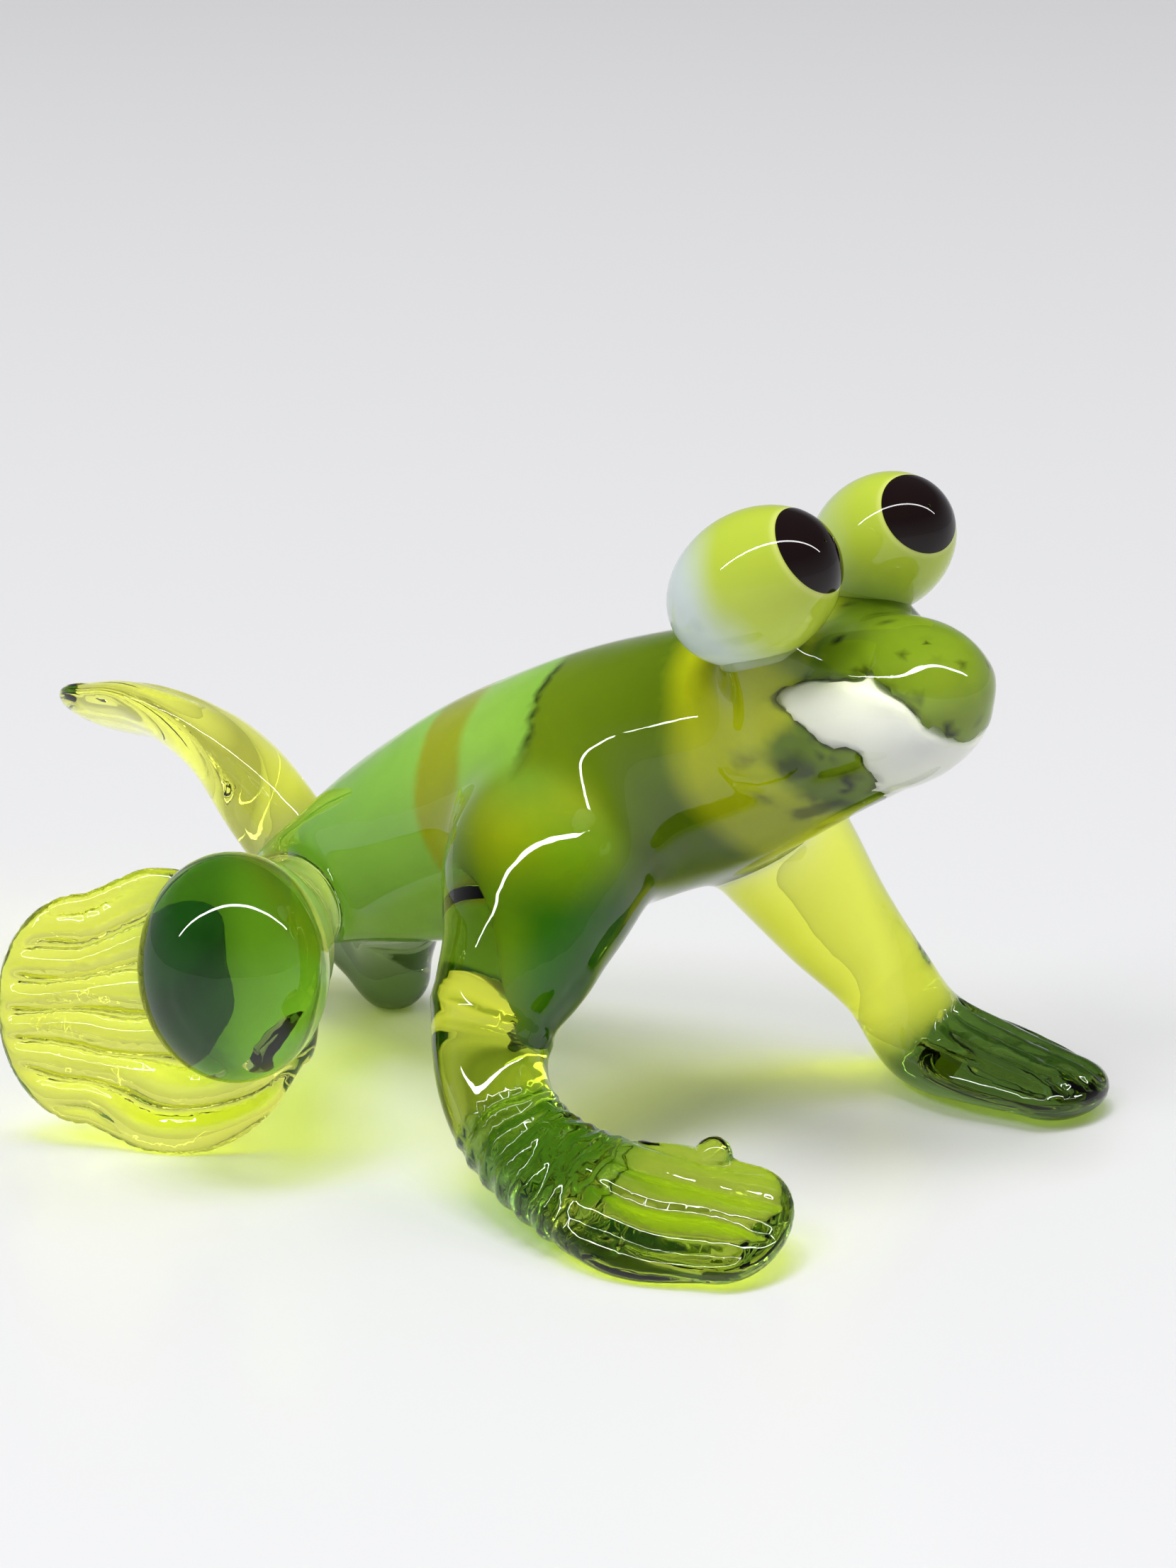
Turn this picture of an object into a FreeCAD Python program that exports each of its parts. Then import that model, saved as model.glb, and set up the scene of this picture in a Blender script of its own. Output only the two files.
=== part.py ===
"""Flame-worked glass frog, crouching: one fused figure made of coloured glass gathers.

Axes: +X is the way the frog looks, +Y is its left, +Z is up.  The shapes are laid
out about the frog's own plane of symmetry and moved at the end, so that the origin
lies on the shelf, under the middle of the figure.
"""
import FreeCAD, Part
import math
import os

Vector = FreeCAD.Vector

# Driving sizes, in millimetres and degrees
SIZES = {
    "rump_x": -27.0,
    "rump_z": 5.4,
    "rump_slope": 28.0,
    "head_slope": 20.3,
    "spine_length": 51.0,
    "nose_length": 6.4,
    "eye_length": 5.2,
    "eye_radius": 3.95,
    "eye_pitch": 35.0,
    "pad_radius": 1.9,
    "pad_foot_radius": 2.5,
    "pad_lean": 1.4,
    "pad_sink": 0.5,
    "pupil_radius": 2.15,
    "pupil_depth": 1.9,
    "pupil_crown": 0.15,
    "mouth_depth": 8.0,
    "mouth_reach": 9.0,
    "mouth_gape": 0.55,
    "mouth_x": 6.099,
    "mouth_z": -1.350,
    "mouth_slope": 21.0,
    "left_knee_radius": 2.4,
    "knob_radius": 0.95,
    "knob_along": 2.2,
    "knob_across": 0.84,
    "knob_rise": 0.8,
    "groove_radius": 0.6,
    "groove_reach": 0.9,
    "groove_lift": 0.45,
    "groove_span": 0.8,
    "stand_height": 0.2,
    "slab": 120.0,
}

# Trunk and head: distance along the spine as a share of it, and radius
TRUNK = {
    "tail": (0.02, 0.9),
    "rump": (0.09, 2.9),
    "haunch": (0.20, 4.5),
    "loin": (0.33, 6.1),
    "back": (0.48, 7.1),
    "shoulder": (0.64, 7.3),
    "neck": (0.79, 6.7),
    "cheek": (0.91, 5.8),
    "snout": (1.0, 5.0),
}

# Where on the spine each limb, the face and the mouth are carried, as a share of its length
CARRIED = {
    "right_arm": 0.6,
    "left_arm": 0.76,
    "right_thigh": 0.18,
    "right_sole": 0.18,
    "left_thigh": 0.26,
    "left_shin": 0.26,
    "face": 0.88,
    "mouth": 1.0,
}

# Limbs: centre x from where it is carried, y, height, half width, half thickness, roll of the width
RIGHT_ARM = {
    "root": (0.132, -3.0, 18.4, 4.7, 4.7, 0),
    "shoulder": (2.132, -7.8, 15.6, 5.6, 5.6, 0),
    "upper": (3.232, -11.3, 12.6, 4.5, 4.5, 0),
    "elbow": (3.232, -13.8, 9.3, 3.4, 3.4, 0),
    "fore": (4.332, -15.4, 6.6, 3.0, 3.0, 0),
    "wrist": (7.032, -16.7, 4.3, 3.0, 2.8, 6),
    "heel": (11.232, -17.3, 3.0, 3.7, 2.3, 14),
    "palm": (15.732, -16.9, 2.4, 4.9, 1.7, 20),
    "toes": (19.832, -15.9, 2.4, 4.2, 1.4, 21),
}
LEFT_ARM = {
    "root": (0.308, 2.5, 19.0, 4.4, 4.4, 0),
    "shoulder": (1.308, 6.3, 14.4, 4.1, 4.1, 0),
    "upper": (2.908, 9.0, 10.1, 3.4, 3.4, 0),
    "wrist": (5.008, 11.3, 6.2, 2.8, 2.8, 0),
    "heel": (7.008, 12.6, 2.9, 3.6, 2.8, 0),
    "palm": (11.708, 12.7, 2.0, 4.5, 1.9, 0),
    "toes": (15.508, 12.4, 1.7, 3.7, 1.6, 0),
}
RIGHT_THIGH = {
    "hip": (-0.157, -3.0, 9.0, 3.2, 3.2, 90),
    "thigh": (4.043, -10.2, 10.0, 3.5, 3.5, 90),
    "swell": (8.243, -16.9, 11.1, 5.2, 4.6, 90),
    "knee": (10.643, -21.0, 11.8, 6.3, 5.2, 90),
}
RIGHT_SOLE = {
    "ankle": (11.643, -17.4, 8.9, 3.4, 2.0, 98),
    "heel": (9.043, -18.9, 8.4, 6.6, 1.7, 98),
    "palm": (5.143, -21.0, 8.05, 8.1, 1.5, 98),
    "toes": (1.343, -22.9, 7.9, 6.5, 1.35, 98),
}
LEFT_THIGH = {
    "hip": (0.186, 2.0, 10.6, 3.6, 3.6, 0),
    "thigh": (-1.514, 3.2, 6.0, 2.7, 2.7, 0),
    "knee": (-2.614, 4.0, 2.5, 2.2, 2.2, 0),
}
LEFT_SHIN = {
    "knee": (-2.614, 4.0, 2.4, 2.2, 2.1, 0),
    "shin": (-7.414, 3.6, 6.6, 2.6, 2.5, 8),
    "ankle": (-11.214, 3.3, 11.2, 3.4, 2.7, 16),
    "heel": (-14.914, 2.8, 14.9, 5.2, 2.2, 27),
    "palm": (-19.114, 2.3, 16.5, 5.8, 1.6, 27),
    "toes": (-22.814, 2.0, 16.4, 4.4, 1.3, 27),
}

# Eyes: centre from where the face is carried, the way each looks from straight ahead, share of full size
EYES = {
    "right_eye": (0.521, -5.0, 8.720, 0, 1.0),
    "left_eye": (2.121, 5.0, 9.420, -21, 0.93),
}

# Grooves pressed into one face of a foot, fanned out by an angle in degrees each way
GROOVES = {
    "right_arm": {"station": "palm", "count": 4, "fan_angle": 14.3, "length": 4.2, "side": 1, "shift": 2.0},
    "left_arm": {"station": "palm", "count": 4, "fan_angle": 11.5, "length": 4.6, "side": 1, "shift": 1.4},
    "right_sole": {"station": "palm", "count": 6, "fan_angle": 20.1, "length": 6.5, "side": -1, "shift": 1.2},
    "left_shin": {"station": "palm", "count": 4, "fan_angle": 11.5, "length": 5.0, "side": 1, "shift": 0.0},
}

# Rounded ends: angles of the shrinking sections, and length as a share of the half width
CAP_STEPS = (32, 58, 78)
CAP_SHARE = 0.8

LEVEL_LIMIT = 1e-6
LOFT_DEGREE = 3
SIDEWAYS = Vector(0, 1, 0)
UPWARDS = Vector(0, 0, 1)

doc = FreeCAD.newDocument("glass_frog")
sheet = doc.addObject("Spreadsheet::Sheet", "Sizes")


def write_sizes(values):
    """Write named values to the sheet, one alias a row, below those that are there."""
    first_row = len(sheet.getUsedCells()) // 2 + 1
    for row, (alias, value) in enumerate(values.items(), start=first_row):
        sheet.set(f"A{row}", alias)
        sheet.set(f"B{row}", str(value))
        sheet.setAlias(f"B{row}", alias)


def write_stations(limb, stations, fields):
    """Write the stations of a trunk or limb to the sheet under spelled-out names."""
    named = {}
    for station, values in stations.items():
        for field, value in zip(fields, values):
            named[f"{limb}_{station}_{field}"] = value
    write_sizes(named)


LIMBS = {
    "right_arm": RIGHT_ARM,
    "left_arm": LEFT_ARM,
    "right_thigh": RIGHT_THIGH,
    "right_sole": RIGHT_SOLE,
    "left_thigh": LEFT_THIGH,
    "left_shin": LEFT_SHIN,
}
write_sizes(SIZES)
write_stations("trunk", TRUNK, ("share", "radius"))
for limb_name, limb_stations in LIMBS.items():
    write_stations(limb_name, limb_stations, ("x", "y", "z", "across", "thick", "roll"))
write_stations("face", EYES, ("x", "y", "z", "yaw", "share"))
write_sizes({f"{name}_carried": share for name, share in CARRIED.items()})
doc.recompute()


def size(alias):
    """Return one value of the sheet as a plain number."""
    return float(sheet.get(alias))


def add(kind, name, **expressions):
    """Add a document object and bind its properties to the sheet."""
    item = doc.addObject(kind, name)
    for prop, expression in expressions.items():
        item.setExpression(prop, expression)
    return item


def place(item, x, y, z):
    """Bind the place of an object to three expressions."""
    for axis, expression in zip("xyz", (x, y, z)):
        item.setExpression(f"Placement.Base.{axis}", expression)


def loft(name, sections):
    """Loft a smooth solid through the sections."""
    solid = doc.addObject("Part::Loft", name)
    solid.Sections = sections
    solid.Solid = True
    solid.Ruled = False
    solid.MaxDegree = LOFT_DEGREE
    return solid


def boolean(kind, name, base, tool):
    """Cut or intersect two objects."""
    result = doc.addObject(kind, name)
    result.Base = base
    result.Tool = tool
    return result


def fuse(name, shapes):
    """Melt several shapes into one solid."""
    result = doc.addObject("Part::MultiFuse", name)
    result.Shapes = shapes
    result.Refine = False
    return result


def ellipsoid(name, along, across, thick):
    """Add a whole ellipsoid from the expressions of its three half lengths."""
    item = add("Part::Ellipsoid", name, Radius1=along, Radius2=across, Radius3=thick)
    item.Angle1, item.Angle2, item.Angle3 = -90, 90, 360
    return item


def turn_to(direction, across):
    """Rotation that takes local Z to a direction and local X near another."""
    return FreeCAD.Rotation(across, Vector(0, 0, 0), direction, "ZXY")


# Trunk and head: circles along an arc of the spine
def spine_expressions(share):
    """Return x, z and the tilt of the spine at a share of its length."""
    bend = "(Sizes.head_slope - Sizes.rump_slope)"
    slope = f"(Sizes.rump_slope + {bend} * {share})"
    reach = f"(Sizes.spine_length * 180 / pi / {bend})"
    x = f"Sizes.rump_x + {reach} * (sin({slope}) - sin(Sizes.rump_slope))"
    z = f"Sizes.rump_z - {reach} * (cos({slope}) - cos(Sizes.rump_slope))"
    return x, z, f"90 - {slope}"


def carried_expressions(name, alias):
    """Return the x and z of a point that is carried along with the spine."""
    x, z, _ = spine_expressions(f"Sizes.{name}_carried")
    return f"{x} + {alias}_x", f"{z} + {alias}_z"


def carried_place(name):
    """Return the point of the spine that carries something."""
    rump, head = math.radians(size("rump_slope")), math.radians(size("head_slope"))
    slope = rump + (head - rump) * size(f"{name}_carried")
    reach = size("spine_length") / (head - rump)
    return Vector(size("rump_x") + reach * (math.sin(slope) - math.sin(rump)), 0,
                  size("rump_z") - reach * (math.cos(slope) - math.cos(rump)))


def spine_circle(name, share, radius):
    """Add one round section of the trunk, square to the spine."""
    circle = add("Part::Circle", name, Radius=radius)
    x, z, tilt = spine_expressions(share)
    circle.Placement.Rotation = FreeCAD.Rotation(SIDEWAYS, 60)
    place(circle, x, "0", z)
    circle.setExpression("Placement.Rotation.Angle", tilt)
    return circle


def make_trunk():
    """Loft the trunk and head, with a rounded nose and a drawn-out tail end."""
    sections = []
    for station in TRUNK:
        alias = f"Sizes.trunk_{station}"
        sections.append(spine_circle(f"trunk_{station}", f"{alias}_share", f"{alias}_radius"))
    for step in CAP_STEPS:
        share = f"(1 + Sizes.nose_length * sin({step}) / Sizes.spine_length)"
        radius = f"Sizes.trunk_snout_radius * cos({step})"
        sections.append(spine_circle(f"nose_{step}", share, radius))
    tip = doc.addObject("Part::Vertex", "nose_tip")
    x, z, _ = spine_expressions("(1 + Sizes.nose_length / Sizes.spine_length)")
    tip.setExpression("X", x)
    tip.setExpression("Z", z)
    return loft("trunk", sections + [tip])


# Limbs: ellipses square to a bent path
def path_tangents(points):
    """Return the direction of the path at each of its points."""
    tangents = []
    for index in range(len(points)):
        before = points[max(index - 1, 0)]
        after = points[min(index + 1, len(points) - 1)]
        tangents.append((after - before).normalize())
    return tangents


def width_direction(tangent, roll):
    """Return the direction across a limb: level, then rolled about its path."""
    level = UPWARDS.cross(tangent)
    if level.Length < LEVEL_LIMIT:
        level = SIDEWAYS
    return FreeCAD.Rotation(tangent, roll).multVec(level.normalize())


def limb_frame(limb, station):
    """Return the centre, path direction, width direction and normal at a station."""
    names = list(LIMBS[limb])
    root = Vector(carried_place(limb).x, 0, 0)
    points = [root + Vector(*(size(f"{limb}_{name}_{axis}") for axis in "xyz")) for name in names]
    index = names.index(station)
    tangent = path_tangents(points)[index]
    across = width_direction(tangent, size(f"{limb}_{station}_roll"))
    return points[index], tangent, across, tangent.cross(across)


def make_limb(limb, capped):
    """Loft a limb through its stations, with a rounded end where it is capped."""
    sections = []
    for station in LIMBS[limb]:
        alias = f"Sizes.{limb}_{station}"
        _, tangent, across, _ = limb_frame(limb, station)
        ring = add("Part::Ellipse", f"{limb}_{station}",
                   MajorRadius=f"{alias}_across", MinorRadius=f"{alias}_thick")
        ring.Placement = FreeCAD.Placement(Vector(), turn_to(tangent, across))
        place(ring, *station_expressions(limb, station))
        sections.append(ring)
    if capped:
        sections += end_cap(limb, list(LIMBS[limb])[-1])
    return loft(limb, sections)


def end_cap(limb, station):
    """Return shrinking sections and a point that round off the end of a limb."""
    alias = f"Sizes.{limb}_{station}"
    _, tangent, across, _ = limb_frame(limb, station)
    length = f"({alias}_across * {CAP_SHARE})"
    sections = []
    for step in CAP_STEPS:
        ring = add("Part::Ellipse", f"{limb}_cap_{step}",
                   MajorRadius=f"{alias}_across * cos({step})",
                   MinorRadius=f"{alias}_thick * cos({step})")
        ring.Placement = FreeCAD.Placement(Vector(), turn_to(tangent, across))
        place(ring, *(f"{centre} + {length} * sin({step}) * {part}"
                      for centre, part in zip(station_expressions(limb, station), tangent)))
        sections.append(ring)
    tip = doc.addObject("Part::Vertex", f"{limb}_tip")
    for axis, centre, part in zip("XYZ", station_expressions(limb, station), tangent):
        tip.setExpression(axis, f"{centre} + {length} * {part}")
    return sections + [tip]


def ball(name, centre, radius):
    """Add a sphere at three expressions."""
    sphere = add("Part::Sphere", name, Radius=radius)
    place(sphere, *centre)
    return sphere


def station_expressions(limb, station):
    """Return the expressions of a station's centre."""
    alias = f"Sizes.{limb}_{station}"
    x, _ = carried_expressions(limb, alias)
    return x, f"{alias}_y", f"{alias}_z"


def pressed_grooves(limb):
    """Return long shallow dents that fan out over one face of a pressed foot."""
    groove = GROOVES[limb]
    station, count, side = groove["station"], groove["count"], groove["side"]
    centre, tangent, across, normal = limb_frame(limb, station)
    width = size(f"{limb}_{station}_across")
    thick = size(f"{limb}_{station}_thick")
    dents = []
    for index in range(count):
        share = 2 * (index + 0.5) / count - 1
        offset = share * size("groove_span")
        turn = math.radians(share * groove["fan_angle"])
        along = tangent * math.cos(turn) + across * math.sin(turn)
        rise = thick * math.sqrt(1 - offset ** 2) + size("groove_reach") * size("groove_lift")
        dent = ellipsoid(f"{limb}_dent_{index}", "Sizes.groove_reach", str(groove["length"]),
                         "Sizes.groove_radius")
        middle = centre + tangent * groove["shift"] + across * (offset * width) + normal * (side * rise)
        dent.Placement = FreeCAD.Placement(middle, turn_to(normal, along))
        dents.append(dent)
    return fuse(f"{limb}_dents", dents)


# Eyes: an egg of opal glass with a black dot let into its end
def look_rotation(eye):
    """Return the rotation that takes local Z to the way an eye looks."""
    yaw = math.radians(size(f"face_{eye}_yaw"))
    pitch = math.radians(size("eye_pitch"))
    look = Vector(math.cos(pitch) * math.cos(yaw), math.cos(pitch) * math.sin(yaw), math.sin(pitch))
    return turn_to(look, SIDEWAYS), look


def eye_expressions(eye):
    """Return the expressions of an eye's centre."""
    alias = f"Sizes.face_{eye}"
    x, z = carried_expressions("face", alias)
    return x, f"{alias}_y", z


def make_egg(name, eye, growth):
    """Add an egg along the eye's look, grown all round by an expression."""
    rotation, _ = look_rotation(eye)
    share = f"Sizes.face_{eye}_share"
    girth = f"Sizes.eye_radius * {share} + {growth}"
    egg = ellipsoid(name, f"Sizes.eye_length * {share} + {growth}", girth, girth)
    egg.Placement.Rotation = rotation
    place(egg, *eye_expressions(eye))
    return egg


def make_pad(eye):
    """Add the short pad of glass that welds an eye to the head."""
    centre = carried_place("face") + Vector(*(size(f"face_{eye}_{axis}") for axis in "xyz"))
    slope = math.radians(size("head_slope"))
    along = Vector(math.cos(slope), 0, math.sin(slope))
    head = Vector(size("rump_x"), 0, size("rump_z")) + along * size("spine_length")
    foot = head + along * ((centre - head).dot(along) - size("pad_lean"))
    rise = centre - foot
    pad = add("Part::Cone", f"{eye}_pad", Radius1="Sizes.pad_foot_radius", Radius2="Sizes.pad_radius")
    pad.Height = rise.Length - size("eye_radius") * size("pad_sink")
    pad.Placement = FreeCAD.Placement(foot, turn_to(rise.normalize(), along))
    return pad


def make_eye(eye, body):
    """Make one eye and its pupil as two solids that share one face."""
    rotation, look = look_rotation(eye)
    share = f"Sizes.face_{eye}_share"
    bore = add("Part::Cylinder", f"{eye}_bore", Radius=f"Sizes.pupil_radius * {share}",
               Height="Sizes.eye_length")
    bore.Placement.Rotation = rotation
    reach = f"(Sizes.eye_length * {share} - Sizes.pupil_depth)"
    place(bore, *(f"{centre} + {reach} * {part}" for centre, part in zip(eye_expressions(eye), look)))
    crown = make_egg(f"{eye}_crown", eye, "Sizes.pupil_crown")
    pupil = boolean("Part::Common", f"{eye[:-4]}_pupil", crown, bore)
    egg = make_egg(f"{eye}_egg", eye, "0")
    pocketed = boolean("Part::Cut", f"{eye}_pocketed", egg, bore)
    return boolean("Part::Cut", eye, pocketed, body), pupil


def make_mouth():
    """Add the lens-shaped cutter of the mouth, across the front of the snout."""
    slit = ellipsoid("mouth", "Sizes.mouth_gape", "Sizes.mouth_depth", "Sizes.mouth_reach")
    slit.Placement.Rotation = FreeCAD.Rotation(SIDEWAYS, size("mouth_slope"))
    x, z = carried_expressions("mouth", "Sizes.mouth")
    place(slit, x, "0", z)
    return slit


def make_body():
    """Make the trunk and head with the eye pads and the mouth."""
    solid = fuse("padded_trunk", [make_trunk()] + [make_pad(eye) for eye in EYES])
    return boolean("Part::Cut", "body", solid, make_mouth())


def make_slab():
    """Add the hot plate that the frog is set on, which flattens what touches it."""
    slab = add("Part::Box", "slab", Length="Sizes.slab", Width="Sizes.slab", Height="Sizes.slab")
    place(slab, "-Sizes.slab / 2", "-Sizes.slab / 2", "Sizes.stand_height - Sizes.slab")
    return slab


def make_leg(name, foot, others):
    """Press the grooves into a foot, melt the rest of the leg on, flatten and trim it."""
    pressed = boolean("Part::Cut", f"{name}_pressed", make_limb(foot, True), pressed_grooves(foot))
    solid = fuse(f"{name}_melt", [pressed] + others) if others else pressed
    standing = boolean("Part::Cut", f"{name}_standing", solid, slab)
    return boolean("Part::Cut", name, standing, body)


def make_knob():
    """Add the small bead at the inner rim of the right front foot."""
    centre, tangent, across, normal = limb_frame("right_arm", "palm")
    rim = centre + tangent * size("knob_along") + normal * size("knob_rise")
    rim += across * size("right_arm_palm_across") * size("knob_across")
    knob = add("Part::Sphere", "right_knob", Radius="Sizes.knob_radius")
    knob.Placement.Base = rim
    return knob


def make_left_knee():
    """Add the round knee on which the left hind leg kneels."""
    return ball("left_knee", station_expressions("left_thigh", "knee"), "Sizes.left_knee_radius")


body = make_body()
slab = make_slab()
pieces = [body]
for eye_name in EYES:
    pieces.extend(make_eye(eye_name, body))
pieces.append(make_leg("right_front_leg", "right_arm", [make_knob()]))
pieces.append(make_leg("left_front_leg", "left_arm", []))
pieces.append(make_leg("right_hind_leg", "right_sole", [make_limb("right_thigh", True)]))
pieces.append(make_leg("left_hind_leg", "left_shin", [make_limb("left_thigh", False), make_left_knee()]))
doc.recompute()

for item in doc.Objects:
    if "Invalid" in item.State or "Error" in item.State:
        raise RuntimeError(f"{item.Name} did not compute: {item.State}")

# Origin on the shelf, under the middle of the figure
bounds = FreeCAD.BoundBox()
for piece in pieces:
    bounds.add(piece.Shape.optimalBoundingBox(False, False))
shift = Vector(-bounds.Center.x, -bounds.Center.y, -bounds.ZMin)
print("shift", [round(v, 3) for v in shift], "size",
      [round(v, 2) for v in (bounds.XLength, bounds.YLength, bounds.ZLength)])

os.makedirs("parts", exist_ok=True)
for piece in pieces:
    piece.Label = piece.Name
    piece.Placement = FreeCAD.Placement(shift, FreeCAD.Rotation()) * piece.Placement
    shape = piece.Shape
    if shape.isNull() or not shape.isValid():
        raise RuntimeError(f"{piece.Label} is not a valid shape")
    print(piece.Label, shape.ShapeType, len(shape.Solids), "solids", round(shape.Volume, 1), "mm3")
    shape.exportStep(f"parts/{piece.Label}.step")
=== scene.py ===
import logging
import math
from dataclasses import dataclass, field
from enum import Enum

import bpy
import numpy as np
from mathutils import Matrix, Vector


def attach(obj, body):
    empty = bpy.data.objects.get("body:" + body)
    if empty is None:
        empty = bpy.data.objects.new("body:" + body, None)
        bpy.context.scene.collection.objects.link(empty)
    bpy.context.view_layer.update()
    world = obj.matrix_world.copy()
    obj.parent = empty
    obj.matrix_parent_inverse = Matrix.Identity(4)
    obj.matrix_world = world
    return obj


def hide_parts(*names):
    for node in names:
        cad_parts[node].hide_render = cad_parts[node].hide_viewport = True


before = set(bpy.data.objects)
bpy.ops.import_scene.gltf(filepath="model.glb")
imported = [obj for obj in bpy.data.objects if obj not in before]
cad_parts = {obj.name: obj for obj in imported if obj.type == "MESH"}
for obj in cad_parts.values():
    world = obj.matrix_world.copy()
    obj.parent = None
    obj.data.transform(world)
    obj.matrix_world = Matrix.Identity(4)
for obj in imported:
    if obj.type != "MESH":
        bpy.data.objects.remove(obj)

LOG = logging.getLogger("glass_frog")
MM = 0.001

# The figure is laid out about its own plane of symmetry, then moved onto the shelf's origin.
ONTO_SHELF = np.array([7.481, 4.438, -0.2])
STAND_HEIGHT = 0.2
PICTURE = (1659, 2212)


class Zone(Enum):
    """Where on the figure a stretch of clear glass lies, which sets its tint."""

    TRUNK = "trunk"
    RIGHT_ARM = "right_arm"
    LEFT_ARM = "left_arm"
    RIGHT_THIGH = "right_thigh"
    RIGHT_SOLE = "right_sole"
    LEFT_THIGH = "left_thigh"
    LEFT_SHIN = "left_shin"


class Ribs(Enum):
    """How the pressed ribs of a foot run."""

    ALONG = "along"
    FAN = "fan"


# Small numeric helpers.


def smooth_min(a: np.ndarray, b: np.ndarray, blend: float) -> np.ndarray:
    """Melt two distance fields together.

    Args:
        a: First field.
        b: Second field.
        blend: Width of the melt in millimetres.

    Returns:
        The joined field, smooth to its second derivative.
    """
    h = np.maximum(blend - np.abs(a - b), 0.0) / blend
    return np.minimum(a, b) - h ** 3 * blend / 6.0


def smooth_max(a: np.ndarray, b: np.ndarray, blend: float) -> np.ndarray:
    """Cut one field by another with a softened edge.

    Args:
        a: First field.
        b: Second field.
        blend: Width of the soft edge in millimetres.

    Returns:
        The cut field.
    """
    return -smooth_min(-a, -b, blend)


def ramp(values: np.ndarray, low: float, high: float) -> np.ndarray:
    """Ease values from 0 at low to 1 at high.

    Args:
        values: Any array.
        low: Where the ease starts.
        high: Where it ends.

    Returns:
        Eased values from 0 to 1.
    """
    t = np.clip((values - low) / (high - low), 0.0, 1.0)
    return t * t * (3.0 - 2.0 * t)


def unit(vectors: np.ndarray) -> np.ndarray:
    """Return vectors of length one."""
    return vectors / np.maximum(np.linalg.norm(vectors, axis=-1, keepdims=True), 1e-9)


def soft_waves(points: np.ndarray, length: float, seed: int) -> np.ndarray:
    """Return slow waves through space, as in glass that was melted by hand.

    Args:
        points: Positions in millimetres.
        length: Wave length in millimetres.
        seed: Which set of waves.

    Returns:
        Values from about -1 to 1.
    """
    rng = np.random.default_rng(seed)
    total = np.zeros(len(points))
    for _ in range(6):
        direction = unit(rng.normal(size=3)) * rng.uniform(0.7, 1.5)
        total += np.sin(points @ direction * (2 * math.pi / length) + rng.uniform(0, 2 * math.pi))
    return total / 3.5


def through(knots: np.ndarray, values: np.ndarray, at: np.ndarray) -> np.ndarray:
    """Interpolate smoothly through uneven knots.

    Args:
        knots: Rising parameters.
        values: One row of values for each knot.
        at: Parameters to read.

    Returns:
        One row of values for each parameter.
    """
    step = np.diff(knots)
    slope = np.diff(values, axis=0) / step[:, None]
    tangent = np.empty_like(values)
    tangent[0], tangent[-1] = slope[0], slope[-1]
    before, after = step[:-1, None], step[1:, None]
    tangent[1:-1] = (slope[1:] * before + slope[:-1] * after) / (before + after)
    index = np.clip(np.searchsorted(knots, at, side="right") - 1, 0, len(step) - 1)
    h = step[index][:, None]
    t = ((at - knots[index])[:, None]) / h
    return ((2 * t ** 3 - 3 * t ** 2 + 1) * values[index] + (t ** 3 - 2 * t ** 2 + t) * h * tangent[index]
            + (3 * t ** 2 - 2 * t ** 3) * values[index + 1] + (t ** 3 - t ** 2) * h * tangent[index + 1])


# Gathers of glass.


@dataclass
class Reading:
    """What a gather says about some points."""

    distance: np.ndarray
    across: np.ndarray
    through: np.ndarray
    along: np.ndarray


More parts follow.
